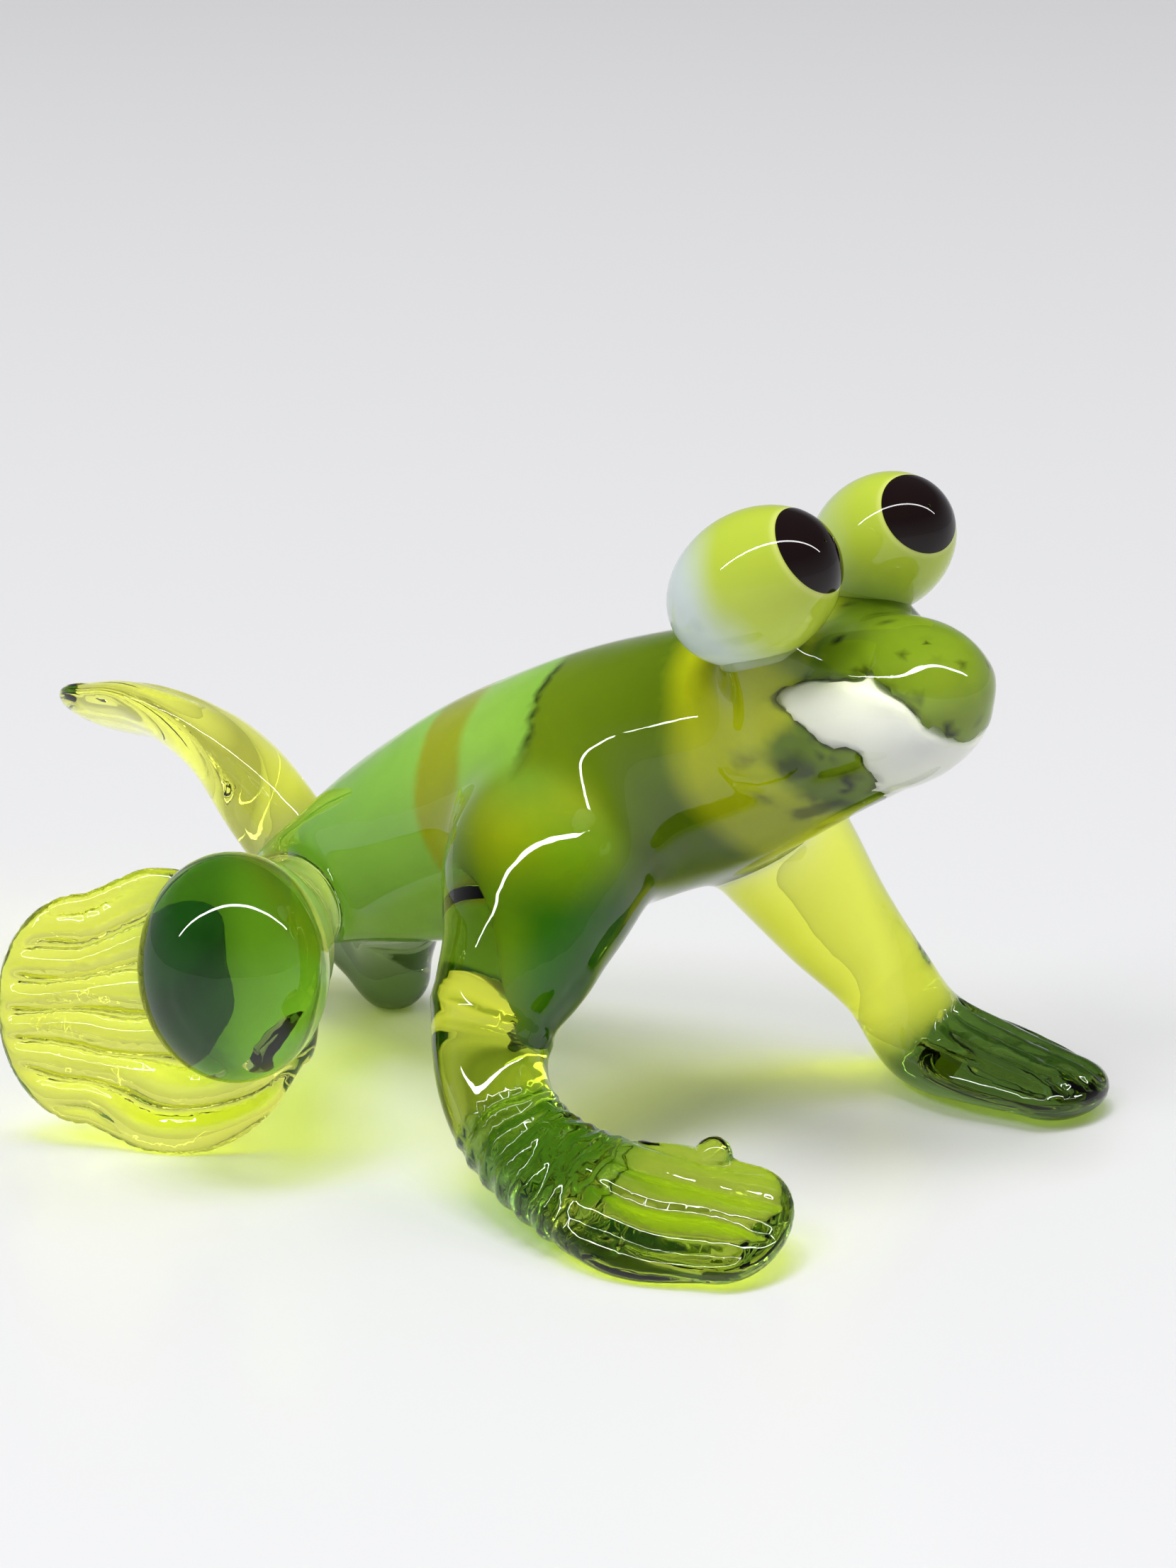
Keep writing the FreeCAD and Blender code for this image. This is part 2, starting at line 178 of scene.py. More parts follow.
@dataclass
class Gather:
    """A gather of hot glass drawn along a bent path.

    Attributes:
        stations: Centre x, y, z, half width, half thickness and roll in degrees at each station.
        start_cap: Length of the rounded start in millimetres.
        end_cap: Length of the rounded end in millimetres.
        samples: How finely the path is followed.
    """

    stations: tuple[tuple[float, ...], ...]
    start_cap: float = 1.0
    end_cap: float = 1.0
    samples: int = 44
    rows: np.ndarray = field(init=False, repr=False)
    slopes: np.ndarray = field(init=False, repr=False)
    lengths: np.ndarray = field(init=False, repr=False)

    def __post_init__(self) -> None:
        """Sample the path once."""
        table = np.array(self.stations, float)
        centres = table[:, :3]
        chord = np.concatenate([[0.0], np.cumsum(np.linalg.norm(np.diff(centres, axis=0), axis=1))])
        nearby = np.clip(np.arange(len(table))[:, None] + np.array([-1, 1]), 0, len(table) - 1)
        tangents = unit(centres[nearby[:, 1]] - centres[nearby[:, 0]])
        level = np.cross([0.0, 0.0, 1.0], tangents)
        flat = np.linalg.norm(level, axis=1) < 1e-6
        level[flat] = [0.0, 1.0, 0.0]
        level = unit(level)
        roll = np.radians(table[:, 5])[:, None]
        across = level * np.cos(roll) + np.cross(tangents, level) * np.sin(roll)
        at = np.linspace(0, chord[-1], self.samples)
        rows = through(chord, np.hstack([centres, across, table[:, 3:5]]), at)
        path = unit(np.gradient(rows[:, :3], axis=0))
        side = rows[:, 3:6] - path * (rows[:, 3:6] * path).sum(1, keepdims=True)
        self.rows = np.hstack([rows[:, :3], path, unit(side), rows[:, 6:8]])
        self.slopes = np.gradient(self.rows, axis=0)
        self.lengths = at

    def reach(self) -> tuple[np.ndarray, np.ndarray]:
        """Return the lowest and highest corner of the space the gather fills."""
        spread = self.rows[:, 9:11].max() + max(self.start_cap, self.end_cap)
        return self.rows[:, :3].min(0) - spread, self.rows[:, :3].max(0) + spread

    def read(self, points: np.ndarray) -> Reading:
        """Measure points against the gather.

        Args:
            points: Positions in millimetres.

        Returns:
            Distance to the skin, and place across, through and along the gather.
        """
        parts = [self._read_some(points[i:i + 60000]) for i in range(0, len(points), 60000)]
        return Reading(*(np.concatenate([getattr(p, name) for p in parts])
                         for name in ("distance", "across", "through", "along")))

    def _read_some(self, points: np.ndarray) -> Reading:
        """Measure a batch of points, as read does."""
        rows, slopes = self.rows, self.slopes
        centre = rows[:, :3]
        apart = (points ** 2).sum(1)[:, None] - 2.0 * points @ centre.T + (centre ** 2).sum(1)
        near = apart.argmin(1)
        ahead = ((points - centre[near]) * rows[near, 3:6]).sum(1)
        first = np.clip(np.where(ahead >= 0, near, near - 1), 0, len(rows) - 2)
        f0 = ((points - centre[first]) * rows[first, 3:6]).sum(1)
        f1 = ((points - centre[first + 1]) * rows[first + 1, 3:6]).sum(1)
        span = np.where(np.abs(f0 - f1) < 1e-9, 1e-9, f0 - f1)
        raw = f0 / span
        t = np.clip(raw, 0.0, 1.0)[:, None]
        row = ((2 * t ** 3 - 3 * t ** 2 + 1) * rows[first] + (t ** 3 - 2 * t ** 2 + t) * slopes[first]
               + (3 * t ** 2 - 2 * t ** 3) * rows[first + 1] + (t ** 3 - t ** 2) * slopes[first + 1])
        path, side = unit(row[:, 3:6]), unit(row[:, 6:9])
        offset = points - row[:, :3]
        u = (offset * side).sum(1)
        v = (offset * np.cross(path, side)).sum(1)
        w = np.where((raw < 0) | (raw > 1), (offset * path).sum(1), 0.0)
        a, b = np.maximum(row[:, 9], 0.05), np.maximum(row[:, 10], 0.05)
        c = np.where(w < 0, self.start_cap, self.end_cap)
        k0 = np.sqrt((u / a) ** 2 + (v / b) ** 2 + (w / c) ** 2)
        k1 = np.sqrt((u / a ** 2) ** 2 + (v / b ** 2) ** 2 + (w / c ** 2) ** 2)
        small = np.minimum(a, b)
        distance = np.where(k0 < 0.25, (k0 - 1.0) * small, k0 * (k0 - 1.0) / np.maximum(k1, 1e-6))
        gap = self.lengths[1]
        return Reading(distance, u, v, (first + t[:, 0]) * gap + w)


@dataclass
class Spine:
    """The arc that the trunk and head follow.

    Attributes:
        start: x and z of its lower end.
        slopes: Slope in degrees at the rump and at the head.
        length: Length of the arc.
    """

    start: tuple[float, float] = (-27.0, 5.4)
    slopes: tuple[float, float] = (28.0, 20.3)
    length: float = 51.0

    def point(self, share: float) -> tuple[float, float, float]:
        """Return the centre at a share of the length."""
        low, high = (math.radians(s) for s in self.slopes)
        slope = low + (high - low) * share
        reach = self.length / (high - low)
        return (self.start[0] + reach * (math.sin(slope) - math.sin(low)), 0.0,
                self.start[1] - reach * (math.cos(slope) - math.cos(low)))


SPINE = Spine()
TRUNK = ((0.02, 0.9), (0.09, 2.9), (0.20, 4.5), (0.33, 6.1), (0.48, 7.1), (0.64, 7.3), (0.79, 6.7),
         (0.91, 5.7), (1.0, 4.75))
NOSE_LENGTH = 6.1
HEAD_START = 0.9
HEAD_FLATNESS = 0.97


def trunk_gather(inset: float = 0.0) -> Gather:
    """Return the gather of trunk and head.

    Args:
        inset: How much smaller all round, in millimetres.

    Returns:
        The gather.
    """
    stations = []
    for share, radius in TRUNK:
        girth = max(radius - inset, 0.3)
        height = girth * (HEAD_FLATNESS if share > HEAD_START else 1.0)
        stations.append((*SPINE.point(share), girth, height, 0.0))
    return Gather(tuple(stations), start_cap=0.8, end_cap=NOSE_LENGTH - inset)


LIMBS: dict[Zone, Gather] = {
    Zone.RIGHT_ARM: Gather((
        (0.7, -3.0, 18.4, 4.7, 4.7, 0), (2.7, -7.8, 15.6, 5.6, 5.6, 0), (3.8, -11.3, 12.6, 4.5, 4.5, 0),
        (3.8, -13.8, 9.3, 3.4, 3.4, 0), (4.9, -15.4, 6.6, 3.0, 3.0, 0), (7.6, -16.7, 4.3, 3.0, 2.8, 6),
        (11.8, -17.3, 3.0, 3.7, 2.3, 14), (16.3, -16.9, 2.4, 4.9, 1.7, 20), (20.4, -15.9, 2.4, 4.2, 1.4, 21)),
        start_cap=3.0, end_cap=3.3, samples=64),
    Zone.LEFT_ARM: Gather((
        (8.4, 2.5, 19.0, 4.4, 4.4, 0), (9.4, 6.3, 14.4, 4.1, 4.1, 0), (11.0, 9.0, 10.1, 3.4, 3.4, 0),
        (13.1, 11.3, 6.2, 2.8, 2.8, 0), (15.1, 12.6, 2.9, 3.6, 2.8, 0), (19.8, 12.7, 2.0, 4.5, 1.9, 0),
        (23.6, 12.4, 1.7, 3.7, 1.6, 0)), start_cap=3.0, end_cap=2.9, samples=56),
    Zone.RIGHT_THIGH: Gather((
        (-19.0, -3.0, 9.0, 3.2, 3.2, 90), (-14.8, -10.2, 10.0, 3.5, 3.5, 90),
        (-10.6, -16.9, 11.1, 5.2, 4.6, 90), (-8.2, -21.0, 11.8, 6.3, 5.2, 90)), start_cap=2.0, end_cap=4.9),
    Zone.RIGHT_SOLE: Gather((
        (-7.2, -17.4, 8.9, 3.4, 2.0, 98), (-9.8, -18.9, 8.4, 6.6, 1.7, 98),
        (-13.7, -21.0, 8.05, 8.1, 1.5, 98), (-17.5, -22.9, 7.9, 6.5, 1.35, 98)), start_cap=1.2, end_cap=5.1),
    Zone.LEFT_THIGH: Gather((
        (-15.0, 2.0, 10.6, 3.6, 3.6, 0), (-16.7, 3.2, 6.0, 2.7, 2.7, 0), (-17.8, 4.0, 2.5, 2.2, 2.2, 0)),
        start_cap=2.5, end_cap=2.2, samples=24),
    Zone.LEFT_SHIN: Gather((
        (-17.8, 4.0, 2.4, 2.2, 2.1, 0), (-22.6, 3.6, 6.6, 2.6, 2.5, 8), (-26.4, 3.3, 11.2, 3.4, 2.7, 16),
        (-30.1, 2.8, 14.9, 5.2, 2.2, 27), (-34.3, 2.3, 16.5, 5.8, 1.6, 27), (-38.0, 2.0, 16.4, 4.4, 1.3, 27)),
        start_cap=2.2, end_cap=3.4, samples=56),
}

# Dark cores melted into the right shoulder and the right knee.
SHOULDER_CORE = Gather((
    (0.7, -3.0, 18.4, 4.0, 4.0, 0), (3.9, -6.9, 16.0, 4.3, 4.3, 0), (5.0, -10.1, 12.8, 2.7, 2.7, 0),
    (5.3, -12.0, 10.5, 1.8, 1.8, 0), (5.4, -13.3, 8.6, 0.8, 0.8, 0)), start_cap=2.0, end_cap=0.8)
KNEE_CORE = Gather((
    (-10.9, -20.9, 8.8, 1.2, 1.5, 0), (-10.7, -21.0, 11.0, 1.6, 1.9, 0), (-10.6, -20.9, 13.0, 1.0, 1.3, 0)),
    start_cap=1.4, end_cap=1.3, samples=24)


@dataclass(frozen=True)
class Pressing:
    """The ribs pressed into one foot.

    Attributes:
        style: How the ribs run.
        count: How many grooves.
        depth: Depth in millimetres.
        begin: Where along the gather they start.
        side: Which face, or 0 for both.
        fan: How much the grooves draw together towards the heel.
    """

    style: Ribs
    count: int
    depth: float
    begin: float
    side: int
    fan: float = 0.0


PRESSINGS: dict[Zone, Pressing] = {
    Zone.RIGHT_ARM: Pressing(Ribs.ALONG, 5, 0.34, 27.0, 1),
    Zone.LEFT_ARM: Pressing(Ribs.ALONG, 6, 0.34, 19.5, 1),
    Zone.RIGHT_SOLE: Pressing(Ribs.FAN, 6, 0.60, 0.2, 0, 0.35),
    Zone.LEFT_SHIN: Pressing(Ribs.ALONG, 4, 0.16, 18.0, 1),
}
MELTS: dict[Zone, float] = {
    Zone.RIGHT_ARM: 3.8, Zone.LEFT_ARM: 2.2, Zone.RIGHT_THIGH: 1.6,
    Zone.RIGHT_SOLE: 0.9, Zone.LEFT_THIGH: 1.6, Zone.LEFT_SHIN: 1.2,
}


def pressed(zone: Zone, reading: Reading) -> np.ndarray:
    """Press the ribs of a foot into its distance field.

    Args:
        zone: Which limb.
        reading: What the limb's gather says of the points.

    Returns:
        The field with its ribs.
    """
    press = PRESSINGS.get(zone)
    if press is None:
        return reading.distance
    gather = LIMBS[zone]
    half = np.interp(reading.along, gather.lengths, gather.rows[:, 9])
    widest = gather.rows[:, 9].max()
    spread = half if press.style is Ribs.FAN else widest
    place = reading.across / np.maximum(spread, 0.5) + 0.02 * np.sin(reading.along * 0.9 + reading.across)
    place = place + press.fan * (reading.along / gather.lengths[-1] - 0.6) * place
    wave = 0.5 + 0.5 * np.cos(place * math.pi * press.count + math.pi * (press.count % 2))
    groove = np.power(wave, 2.2)
    reach = ramp(reading.along, press.begin, press.begin + 2.5)
    end = np.clip((reading.along - gather.lengths[-1]) / gather.end_cap, 0.0, 1.0)
    edge = 1.0 - ramp(np.hypot(reading.across / np.maximum(half, 0.5), end), 0.70, 0.95)
    face = 1.0 if press.side == 0 else ramp(reading.through * press.side, -0.1, 0.5)
    return reading.distance + press.depth * groove * reach * edge * face


def wrist_ripples(reading: Reading) -> np.ndarray:
    """Return the ripples round the right wrist and the weld ring above them, in millimetres."""
    stir = np.sin(reading.across * 1.5 + reading.along * 0.8)
    wave = np.sin(reading.along * 5.2 + 0.7 * reading.across + 1.3 * stir)
    window = ramp(reading.along, 20.3, 21.0) * (1.0 - ramp(reading.along, 27.0, 29.0))
    ring = np.exp(-((reading.along - 15.3 - 0.25 * reading.across) / 0.42) ** 2)
    return 0.10 * wave * window - 0.12 * ring


# Lines on the head: shares of the spine against heights above it.
UPPER_LIP = ((0.94, 0.97, 1.02, 1.063, 1.10), (4.6, 4.0, 2.4, 1.2, 0.0))
LOWER_LIP = ((0.85, 0.87, 0.894, 0.926, 0.964), (0.2, -1.5, -2.1, -2.1, -1.2))
CHIN_TOP = ((0.90, 0.92, 0.94, 0.99, 1.03, 1.06, 1.07, 1.08, 1.10, 1.12),
            (1.6, 2.1, 2.6, 2.1, 1.8, 0.2, -1.6, -3.0, -3.8, -4.2))
# Where the green ends behind the chin: heights against shares of the spine.
CHIN_BACK = ((-5.5, -4.0, -3.0, -1.8, -1.0, -0.2, 0.6, 2.1),
             (0.925, 0.965, 0.998, 0.996, 0.972, 0.957, 0.945, 0.920))


def head_place(points: np.ndarray) -> tuple[np.ndarray, np.ndarray]:
    """Measure points against the end of the spine.

    Args:
        points: Positions in millimetres.

    Returns:
        Share of the spine's length, and height above its line in millimetres.
    """
    tilt = math.radians(SPINE.slopes[1])
    offset = points - np.array(SPINE.point(1.0))
    ahead = offset @ np.array([math.cos(tilt), 0.0, math.sin(tilt)])
    return 1.0 + ahead / SPINE.length, offset @ np.array([-math.sin(tilt), 0.0, math.cos(tilt)])


@dataclass
class Figure:
    """The whole melted figure as one distance field.

    Attributes:
        trunk: Gather of trunk and head.
        eyes: A point above the pad under each eye bead, and the pad's radius.
        brow: Centre and radius of the rise between the eyes.
        knob: Centre and radius of the bead at the right front foot.
    """

    trunk: Gather = field(default_factory=trunk_gather)
    eyes: tuple[tuple[float, float, float, float], ...] = ((14.3, -5.0, 32.8, 2.3), (14.6, 4.4, 33.3, 2.2))
    brow: tuple[float, float, float, float] = (16.2, 3.4, 28.0, 3.2)
    knob: tuple[float, float, float, float] = (17.5, -13.0, 4.5, 0.95)

    def pads(self, points: np.ndarray) -> np.ndarray:
        """Return the field of the short pads under the eyes."""
        best = np.full(len(points), 1e3)
        for x, y, z, radius in self.eyes:
            foot, top = np.array([x + 1.2, y * 0.7, z - 7.5]), np.array([x, y, z - 2.2])
            axis = top - foot
            t = np.clip(((points - foot) @ axis) / (axis @ axis), 0.0, 1.0)
            best = np.minimum(best, np.linalg.norm(points - foot - t[:, None] * axis, axis=1) - radius)
        rise = np.linalg.norm(points - np.array(self.brow[:3]), axis=1) - self.brow[3]
        return smooth_min(best, rise, 2.0)

    def lips(self, points: np.ndarray) -> np.ndarray:
        """Return how far the lips stand out at each point, in millimetres.

        Args:
            points: Positions in millimetres.

        Returns:
            Heights above the rounded head.
        """
        share, up = head_place(points)
        upper = np.interp(share, *UPPER_LIP)
        lower = np.interp(share, *LOWER_LIP)
        ends = ramp(share, 0.95, 0.98) * (1.0 - ramp(share, 1.09, 1.12))
        corner = ramp(share, 0.855, 0.87) * (1.0 - ramp(share, 0.95, 0.97))
        return (0.20 * np.exp(-((up - upper) / 0.85) ** 2) * ends
                - 0.10 * np.exp(-((up - upper + 1.3) / 0.7) ** 2) * ends
                + 0.24 * np.exp(-((up - lower) / 0.55) ** 2) * corner)

    def field(self, points: np.ndarray) -> np.ndarray:
        """Return the distance of points to the skin of the figure.

        Args:
            points: Positions in millimetres.

        Returns:
            Distances, negative inside.
        """
        total = self.trunk.read(points).distance
        total = smooth_min(total, self.pads(points), 3.0)
        total = total - self.lips(points)
        for zone, gather in LIMBS.items():
            low, high = gather.reach()
            inside = np.all((points > low - 2.0) & (points < high + 2.0), axis=1)
            reading = gather.read(points[inside])
            limb = pressed(zone, reading)
            if zone is Zone.RIGHT_ARM:
                limb = limb + wrist_ripples(reading)
            total[inside] = smooth_min(total[inside], limb, MELTS[zone])
        *centre, radius = self.knob
        knob = np.linalg.norm(points - np.array(centre), axis=1) - radius
        total = smooth_min(total, knob, 0.4)
        total = total + 0.05 * soft_waves(points, 7.5, 3)
        return smooth_max(total, STAND_HEIGHT - points[:, 2], 0.25)

    def shares(self, points: np.ndarray) -> dict[Zone, tuple[np.ndarray, Reading]]:
        """Return how much each gather owns of each point, adding up to one, with its reading."""
        readings = {Zone.TRUNK: self.trunk.read(points)}
        readings.update({zone: gather.read(points) for zone, gather in LIMBS.items()})
        weights = {zone: np.exp(-np.maximum(r.distance, -1.0) / 0.9) for zone, r in readings.items()}
        total = sum(weights.values())
        return {zone: (weights[zone] / total, readings[zone]) for zone in readings}


# From field to mesh. Cells are searched in blocks; places far off hold a plain value.

BLOCK = 4
FAR = 9.0


def lattice(counts: np.ndarray) -> np.ndarray:
    """Return every whole-number place of a grid, with a last axis of three."""
    return np.stack(np.meshgrid(*[np.arange(n) for n in counts], indexing="ij"), -1)


@dataclass
class Skinner:
    """Turns a distance field into a smooth closed mesh.

    Attributes:
        step: Grid spacing in millimetres.
        margin: Free space kept round the shape.
    """

    step: float = 0.4
    margin: float = 1.6

    def skin(self, shape, low: np.ndarray, high: np.ndarray) -> tuple[np.ndarray, np.ndarray]:
        """Mesh the zero surface of a field.

        Args:
            shape: Function from points to distances.
            low: Lowest corner to search.
            high: Highest corner to search.

        Returns:
            Vertices in millimetres and quads of vertex indices.
        """
        low, high = low - self.margin, high + self.margin
        count = np.ceil((high - low) / self.step).astype(int) + 1
        count = ((count + BLOCK - 1) // BLOCK) * BLOCK + 1
        values = np.full(count, FAR)
        centres = lattice((count - 1) // BLOCK).reshape(-1, 3)
        middle = low + (centres * BLOCK + BLOCK // 2) * self.step
        depth = shape(middle)
        near = np.abs(depth) < self.step * BLOCK * 1.5 + 0.6
        corners = lattice([BLOCK + 1] * 3).reshape(-1, 3)
        wanted = np.zeros(count, bool)
        for corner in corners:
            index = centres[near] * BLOCK + corner
            wanted[tuple(index.T)] = True
        for corner in corners:
            index = centres[(depth < 0) & ~near] * BLOCK + corner
            values[tuple(index.T)] = -FAR
        index = np.argwhere(wanted)
        values[tuple(index.T)] = shape(low + index * self.step)
        vertices, quads = self._nets(values)
        vertices = low + vertices * self.step
        for _ in range(2):
            gradient = self.gradient(shape, vertices)
            size = np.maximum((gradient ** 2).sum(1), 0.2)
            move = -(shape(vertices) / size)[:, None] * gradient
            vertices = vertices + np.clip(move, -self.step * 0.6, self.step * 0.6)
        return vertices, quads

    @staticmethod
    def gradient(shape, points: np.ndarray, reach: float = 0.05) -> np.ndarray:
        """Return the slope of a field at points."""
        columns = []
        for axis in range(3):
            offset = np.zeros(3)
            offset[axis] = reach
            columns.append((shape(points + offset) - shape(points - offset)) / (2 * reach))
        return np.stack(columns, 1)

    @staticmethod
    def _nets(values: np.ndarray) -> tuple[np.ndarray, np.ndarray]:
        """Find one vertex for each crossed cell and a quad for each crossed edge."""
        inside = values < 0
        cells = np.array(values.shape) - 1
        total = np.zeros((*cells, 3))
        hits = np.zeros(cells)
        grid = lattice(cells)
        corners = [(i, j, k) for i in (0, 1) for j in (0, 1) for k in (0, 1)]

        def part(array: np.ndarray, corner: tuple[int, int, int]) -> np.ndarray:
            """Return one corner's values for every cell."""
            return array[tuple(slice(c, c + n) for c, n in zip(corner, cells))]

        for axis in range(3):
            for corner in corners:
                if corner[axis]:
                    continue
                other = tuple(c + (1 if i == axis else 0) for i, c in enumerate(corner))
                a, b = part(values, corner), part(values, other)
                crossed = part(inside, corner) != part(inside, other)
                share = np.where(crossed, a / np.where(crossed, a - b, 1.0), 0.0)
                for i in range(3):
                    place = corner[i] + (share if i == axis else 0.0)
                    total[..., i] += np.where(crossed, place, 0.0)
                hits += crossed
        active = hits > 0
        number = np.full(cells, -1)
        number[active] = np.arange(active.sum())
        vertices = grid[active] + total[active] / hits[active][:, None]
        quads = []
        for axis in range(3):
            first, second = (axis + 1) % 3, (axis + 2) % 3
            low_side = [slice(1, n) for n in cells]
            low_side[axis] = slice(0, cells[axis])
            high_side = list(low_side)
            high_side[axis] = slice(1, cells[axis] + 1)
            a, b = inside[tuple(low_side)], inside[tuple(high_side)]
            place = np.argwhere(a != b)
            base = place + (np.arange(3) != axis)
            flip = a[tuple(place.T)]
            ring = []
            for df, ds in ((-1, -1), (0, -1), (0, 0), (-1, 0)):
                cell = base.copy()
                cell[:, first] += df
                cell[:, second] += ds
                ring.append(number[tuple(cell.T)])
            ring = np.stack(ring, 1)
            ring[~flip] = ring[~flip][:, ::-1]
            quads.append(ring)
        return vertices, np.concatenate(quads)


def shelf_mesh(name: str, vertices: np.ndarray, faces: np.ndarray) -> bpy.types.Object:
    """Make a smooth object from millimetre vertices, moved onto the shelf.

    Args:
        name: Name of the piece.
        vertices: Positions in millimetres, in the figure's own layout.
        faces: Quads or triangles as vertex indices.

    Returns:
        The new object.
    """
    mesh = bpy.data.meshes.new(name)
    mesh.vertices.add(len(vertices))
    mesh.vertices.foreach_set("co", ((vertices + ONTO_SHELF) * MM).astype(np.float32).ravel())
    corners = faces.shape[1]
    mesh.loops.add(faces.size)
    mesh.loops.foreach_set("vertex_index", faces.astype(np.int32).ravel())
    mesh.polygons.add(len(faces))
    mesh.polygons.foreach_set("loop_start", (np.arange(len(faces)) * corners).astype(np.int32))
    mesh.polygons.foreach_set("loop_total", np.full(len(faces), corners, np.int32))
    mesh.polygons.foreach_set("use_smooth", np.ones(len(faces), bool))
    mesh.update(calc_edges=True)
    mesh.validate()
    piece = bpy.data.objects.new(name, mesh)
    bpy.context.scene.collection.objects.link(piece)
    return piece


def blend(first: np.ndarray, second: np.ndarray, share: np.ndarray) -> np.ndarray:
    """Blend two colours by a share for each point."""
    return first + (second - first) * share[:, None]


def paint(piece: bpy.types.Object, name: str, colours: np.ndarray) -> None:
    """Store one colour for each vertex.

    Args:
        piece: Mesh object.
        name: Name of the colour layer.
        colours: Red, green and blue for each vertex.
    """
    layer = piece.data.color_attributes.new(name, "FLOAT_COLOR", "POINT")
    values = np.hstack([np.clip(colours, 0.0, 1.0), np.ones((len(colours), 1))])
    layer.data.foreach_set("color", values.astype(np.float32).ravel())


# Finishes.


class Recipe:
    """A node tree that is being written."""

    def __init__(self, name: str) -> None:
        """Start an empty material.

        Args:
            name: Name of the material.
        """
        self.material = bpy.data.materials.new(name)
        self.material.use_nodes = True
        self.tree = self.material.node_tree
        self.tree.nodes.clear()

    def node(self, kind: str, inputs: dict | None = None, **settings) -> bpy.types.Node:
        """Add a node and set it up.

        Args:
            kind: Type of the node.
            inputs: Values of its inputs, by name or number.
            **settings: Its properties by name.

        Returns:
            The node.
        """
        made = self.tree.nodes.new(kind)
        for key, value in settings.items():
            setattr(made, key, value)
        for key, value in (inputs or {}).items():
            made.inputs[key].default_value = value
        return made

    def link(self, source: bpy.types.NodeSocket, target: bpy.types.NodeSocket) -> None:
        """Join two sockets."""
        self.tree.links.new(source, target)

    def noise(self, scale: float, detail: float, distortion: float = 0.0) -> bpy.types.NodeSocket:
        """Add noise through the piece's own space.

        Args:
            scale: How fine it is.
            detail: How many finer layers it has.
            distortion: How much it is stirred.

        Returns:
            Its strength.
        """
        place = self.node("ShaderNodeTexCoord")
        noise = self.node("ShaderNodeTexNoise", {"Scale": scale, "Detail": detail, "Distortion": distortion})
        self.link(place.outputs["Object"], noise.inputs["Vector"])
        return noise.outputs["Fac"]

    def clouded(self, layer: str, noise: bpy.types.NodeSocket, low: float,
                high: float) -> bpy.types.NodeSocket:
        """Shade a painted colour with noise.

        Args:
            layer: Colour layer.
            noise: Strength of the noise.
            low: Brightness where the noise is weakest.
            high: Brightness where it is strongest.

        Returns:
            The shaded colour.
        """
        colour = self.node("ShaderNodeVertexColor", layer_name=layer)
        depth = self.node("ShaderNodeMapRange", {"To Min": low, "To Max": high})
        self.link(noise, depth.inputs["Value"])
        shade = self.node("ShaderNodeMix", {"Factor": 1.0}, data_type="RGBA", blend_type="MULTIPLY")
        self.link(colour.outputs["Color"], shade.inputs[6])
        self.link(depth.outputs["Result"], shade.inputs[7])
        return shade.outputs[2]

    def finish(self, seen: bpy.types.Node, passed: bpy.types.Node | None = None) -> bpy.types.Material:
        """End the tree.

        Args:
            seen: Shader that is seen.
            passed: Shader that lets light through to the shadow, if another.

        Returns:
            The material.
        """
        surface = seen.outputs[0]
        if passed is not None:
            light = self.node("ShaderNodeLightPath")
            mix = self.node("ShaderNodeMixShader")
            self.link(light.outputs["Is Shadow Ray"], mix.inputs[0])
            self.link(surface, mix.inputs[1])
            self.link(passed.outputs[0], mix.inputs[2])
            surface = mix.outputs[0]
        out = self.node("ShaderNodeOutputMaterial")
        self.link(surface, out.inputs["Surface"])
        return self.material


@dataclass(frozen=True)
class ClearGlass:
    """Transparent glass whose tint is painted on its skin.

    Attributes:
        name: Name of the finish.
        layer: Colour layer that holds the tint.
        ior: Refractive index.
        ripple: Strength of the fine waviness.
        glow: Colour mixed half and half with the tint in its shadow.
    """

    name: str
    layer: str
    ior: float = 1.5
    ripple: float = 0.06
    glow: tuple[float, float, float] = (0.80, 0.84, 0.12)

    def material(self) -> bpy.types.Material:
        """Build the material."""
        recipe = Recipe(self.name)
        tint = recipe.node("ShaderNodeVertexColor", layer_name=self.layer)
        glass = recipe.node("ShaderNodeBsdfPrincipled", {
            "Roughness": 0.015, "IOR": self.ior, "Transmission Weight": 1.0})
        recipe.link(tint.outputs["Color"], glass.inputs["Base Color"])
        bump = recipe.node("ShaderNodeBump", {"Strength": self.ripple, "Distance": 0.0004})
        recipe.link(recipe.noise(420.0, 1.5), bump.inputs["Height"])
        recipe.link(bump.outputs["Normal"], glass.inputs["Normal"])
        glow = recipe.node("ShaderNodeMix", {"Factor": 0.5, 7: (*self.glow, 1.0)}, data_type="RGBA")
        recipe.link(tint.outputs["Color"], glow.inputs[6])
        passed = recipe.node("ShaderNodeBsdfTransparent")
        recipe.link(glow.outputs[2], passed.inputs["Color"])
        return recipe.finish(glass, passed)


@dataclass(frozen=True)
class BandedGlass:
    """Coloured glass inside the clear casing, with its stripes painted on it.

    Attributes:
        name: Name of the finish.
        layer: Colour layer that holds the stripes.
        clear: Share of light that passes.
        glow: Colour of the light in its shadow.
    """

    name: str
    layer: str
    clear: float = 0.2
    glow: tuple[float, float, float] = (0.24, 0.28, 0.06)

    def material(self) -> bpy.types.Material:
        """Build the material."""
        recipe = Recipe(self.name)
        shade = recipe.clouded(self.layer, recipe.noise(160.0, 3.0, 1.2), 0.78, 1.12)
        glass = recipe.node("ShaderNodeBsdfPrincipled", {
            "Roughness": 0.12, "IOR": 1.08, "Transmission Weight": self.clear, "Specular IOR Level": 0.1})
        recipe.link(shade, glass.inputs["Base Color"])
        passed = recipe.node("ShaderNodeBsdfTransparent", {"Color": (*self.glow, 1.0)})
        return recipe.finish(glass, passed)


